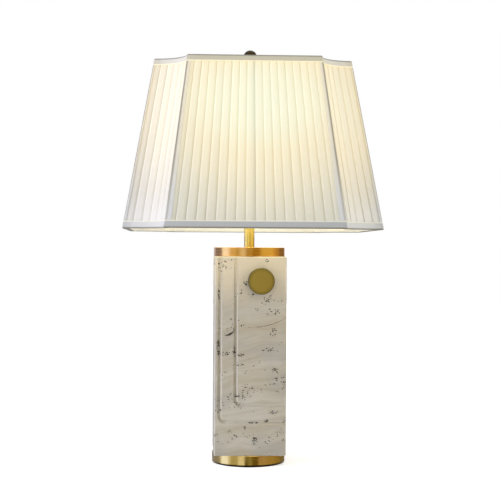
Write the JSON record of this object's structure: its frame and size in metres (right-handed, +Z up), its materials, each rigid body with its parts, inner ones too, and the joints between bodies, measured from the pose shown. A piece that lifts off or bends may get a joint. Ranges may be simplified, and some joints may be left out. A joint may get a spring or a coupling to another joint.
{
  "type": "table lamp",
  "caption": "Table lamp with a grooved square stone column between brass discs, a dimmer knob, a slim pole, and a pleated square shade with scooped corners.",
  "frame": {"origin": "centre of the underside, on the table", "axes": "+Z up along the pole; the grooved face with the knob looks along -Y; +X to the right of a viewer there"},
  "size_m": [0.38, 0.38, 0.635],
  "materials": {
    "pad_foam": "matt closed-cell foam",
    "brass": "aged, brushed round the edge",
    "dark_bronze": "dark bronzed, satin",
    "contact_brass": "bright",
    "travertine": "honed, with open pits",
    "zinc_steel": "zinc plated",
    "coated_steel": "white coated",
    "black_plastic": "moulded",
    "white_plastic": "moulded",
    "lead_sleeving": "smooth sleeving",
    "porcelain": "unglazed white",
    "opal_glass": "opal, satin",
    "shade_cloth": "plain weave, knife pleated",
    "hem_cloth": "plain weave, folded",
    "lining_cloth": "smooth plain weave"
  },
  "bodies": {
    "root": {"base_pad": "pad_foam", "base_disc": "brass", "inlet_grommet": "black_plastic", "stone_column": "travertine", "cap_disc": "brass", "pole_sleeve": "brass", "threaded_pipe": "zinc_steel", "pipe_washer": "zinc_steel", "pipe_nut": "zinc_steel", "terminal_block": "white_plastic", "lead_supply": "lead_sleeving", "lead_lamp": "lead_sleeving", "dimmer_housing": "black_plastic", "dimmer_plate": "brass", "dimmer_nut": "zinc_steel", "plate_screws": "zinc_steel", "harp_saddle": "brass", "holder_cap": "brass", "holder_shell": "brass", "holder_insert": "porcelain", "thread_sleeve": "contact_brass", "centre_contact": "contact_brass", "bulb_contact": "zinc_steel", "bulb_base": "zinc_steel", "bulb_glass": "opal_glass", "harp_bow": "brass"},
    "knob": {"knob": "brass", "dimmer_shaft": "zinc_steel", "knob_grub_screw": "zinc_steel"},
    "shade": {"swivel_stud": "brass", "shade_spider": "brass", "pleats_front": "shade_cloth", "pleats_right": "shade_cloth", "pleats_back": "shade_cloth", "pleats_left": "shade_cloth", "pleats_back_right": "shade_cloth", "pleats_back_left": "shade_cloth", "pleats_front_left": "shade_cloth", "pleats_front_right": "shade_cloth", "hem_bottom": "hem_cloth", "hem_top": "hem_cloth", "shade_lining": "lining_cloth", "edge_bindings": "hem_cloth", "frame_bar_bottom": "coated_steel", "frame_bar_top": "coated_steel", "frame_ribs": "coated_steel"},
    "finial": {"finial": "dark_bronze"},
    "ferrule_left": {"ferrule_left": "brass"},
    "ferrule_right": {"ferrule_right": "brass"}
  },
  "joints": [
    {"name": "knob_turn", "type": "hinge", "parent": "root", "child": "knob", "pos_m": [0.0155, -0.05425, 0.2792], "axis": [0, 1, 0], "range_deg": [0, 300]},
    {"name": "shade_swivel", "type": "hinge", "parent": "root", "child": "shade", "pos_m": [0, 0, 0.592], "axis": [0, 0, 1], "continuous": true},
    {"name": "finial_turn", "type": "hinge", "parent": "shade", "child": "finial", "pos_m": [0, 0, 0.5994], "axis": [0, 0, 1], "continuous": true},
    {"name": "ferrule_left_lift", "type": "slide", "parent": "root", "child": "ferrule_left", "axis": [0, 0, 1], "range_m": [0, 0.012]},
    {"name": "ferrule_right_lift", "type": "slide", "parent": "root", "child": "ferrule_right", "axis": [0, 0, 1], "range_m": [0, 0.012]}
  ]
}
